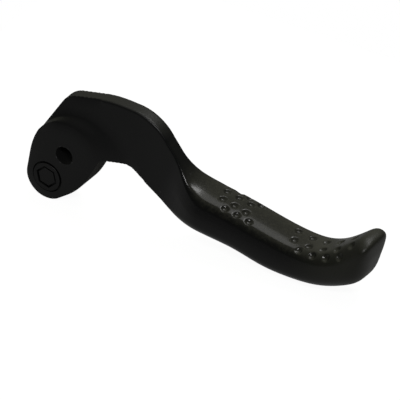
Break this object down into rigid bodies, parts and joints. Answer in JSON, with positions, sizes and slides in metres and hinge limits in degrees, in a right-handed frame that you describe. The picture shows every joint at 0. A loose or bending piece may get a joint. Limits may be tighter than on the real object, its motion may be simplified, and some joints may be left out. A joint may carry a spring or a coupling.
{
  "type": "bicycle brake lever blade",
  "caption": "Short bicycle brake lever blade: a bored head that holds a turning pushrod barrel, a flat curved arm, and a wider dimpled finger section that hooks up at the tip.",
  "frame": {"origin": "centre of the pivot bore, at the middle of the head's thickness", "axes": "+X from the head towards the tip, +Y along the pivot bore away from the barrel's hex face, +Z towards the side that the finger pulls on"},
  "size_m": [0.1039, 0.0126, 0.0341],
  "materials": {
    "black_alloy": "satin black anodised",
    "black_steel": "black oxide"
  },
  "bodies": {
    "blade": {"lever_blade": "black_alloy"},
    "barrel": {"pushrod_barrel": "black_steel"}
  },
  "joints": [
    {"name": "barrel_turn", "type": "hinge", "parent": "blade", "child": "barrel", "pos_m": [-0.00552, 0, -0.00834], "axis": [0, 1, 0], "continuous": true}
  ]
}
